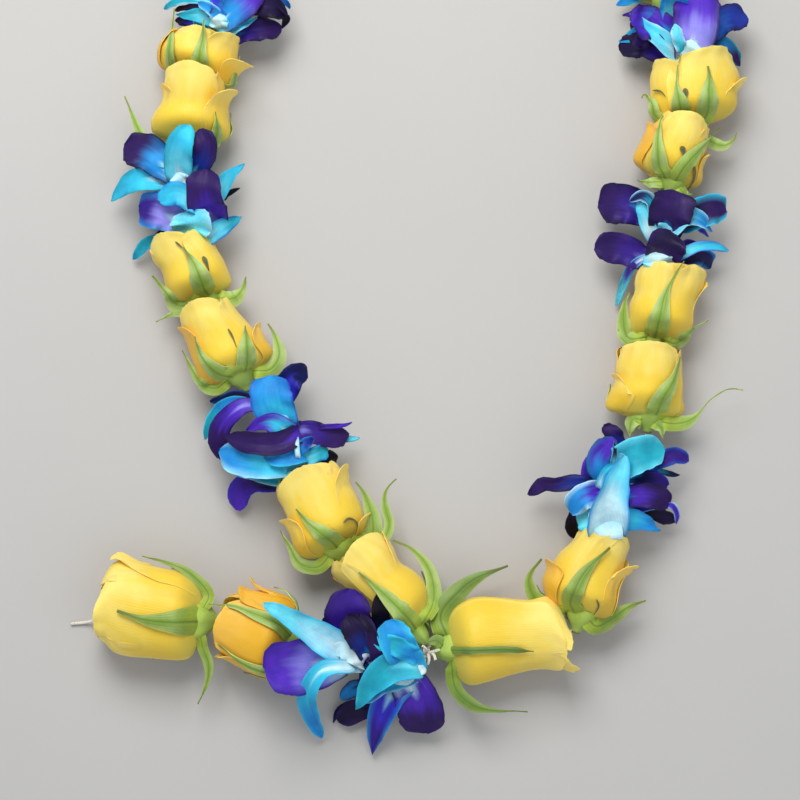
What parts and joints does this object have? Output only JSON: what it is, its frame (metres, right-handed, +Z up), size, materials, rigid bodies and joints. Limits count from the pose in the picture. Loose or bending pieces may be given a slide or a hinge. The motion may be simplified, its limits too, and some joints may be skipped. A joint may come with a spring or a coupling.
{
  "type": "flower garland",
  "caption": "Garland of yellow rose buds and blue orchid blossoms threaded on string as a loop with a short tail, laid flat.",
  "frame": {"origin": "centre of the garland's bounding box at the level of the surface it lies on", "axes": "+Z up from the surface, +Y from the joint knot towards the nape of the loop, +X to the right seen from above"},
  "size_m": [0.3076, 0.458, 0.0369],
  "materials": {
    "rose_petal": "soft satin rose petal, yellow with deeper folds",
    "calyx_green": "matte green sepals and hips with a pale bloom",
    "orchid_petal": "satin dyed orchid petal, pale cyan base to azure and dark violet tips",
    "cotton_string": "twisted cotton string, matte"
  },
  "bodies": {
    "root": {"loop_string": "cotton_string", "orchid_01_lower": "orchid_petal", "orchid_01_upper": "orchid_petal", "orchid_02_lower": "orchid_petal", "orchid_02_upper": "orchid_petal", "orchid_03_lower": "orchid_petal", "orchid_03_upper": "orchid_petal", "orchid_04_lower": "orchid_petal", "orchid_04_upper": "orchid_petal", "orchid_05_lower": "orchid_petal", "orchid_05_upper": "orchid_petal", "orchid_06_lower": "orchid_petal", "orchid_06_upper": "orchid_petal", "orchid_07_lower": "orchid_petal", "orchid_07_upper": "orchid_petal", "orchid_08_lower": "orchid_petal", "orchid_08_upper": "orchid_petal", "orchid_09_lower": "orchid_petal", "orchid_09_upper": "orchid_petal", "rose_01_calyx": "calyx_green", "rose_01_petals": "rose_petal", "rose_02_calyx": "calyx_green", "rose_02_petals": "rose_petal", "rose_03_calyx": "calyx_green", "rose_03_petals": "rose_petal", "rose_04_calyx": "calyx_green", "rose_04_petals": "rose_petal", "rose_05_calyx": "calyx_green", "rose_05_petals": "rose_petal", "rose_06_calyx": "calyx_green", "rose_06_petals": "rose_petal", "rose_07_calyx": "calyx_green", "rose_07_petals": "rose_petal", "rose_08_calyx": "calyx_green", "rose_08_petals": "rose_petal", "rose_09_calyx": "calyx_green", "rose_09_petals": "rose_petal", "rose_10_calyx": "calyx_green", "rose_10_petals": "rose_petal", "rose_11_calyx": "calyx_green", "rose_11_petals": "rose_petal", "rose_12_calyx": "calyx_green", "rose_12_petals": "rose_petal", "rose_13_calyx": "calyx_green", "rose_13_petals": "rose_petal", "rose_14_calyx": "calyx_green", "rose_14_petals": "rose_petal", "rose_15_calyx": "calyx_green", "rose_15_petals": "rose_petal", "rose_16_calyx": "calyx_green", "rose_16_petals": "rose_petal", "rose_17_calyx": "calyx_green", "rose_17_petals": "rose_petal", "rose_18_calyx": "calyx_green", "rose_18_petals": "rose_petal", "rose_19_calyx": "calyx_green", "rose_19_petals": "rose_petal", "rose_20_calyx": "calyx_green", "rose_20_petals": "rose_petal", "tail_string": "cotton_string"}
  },
  "joints": []
}
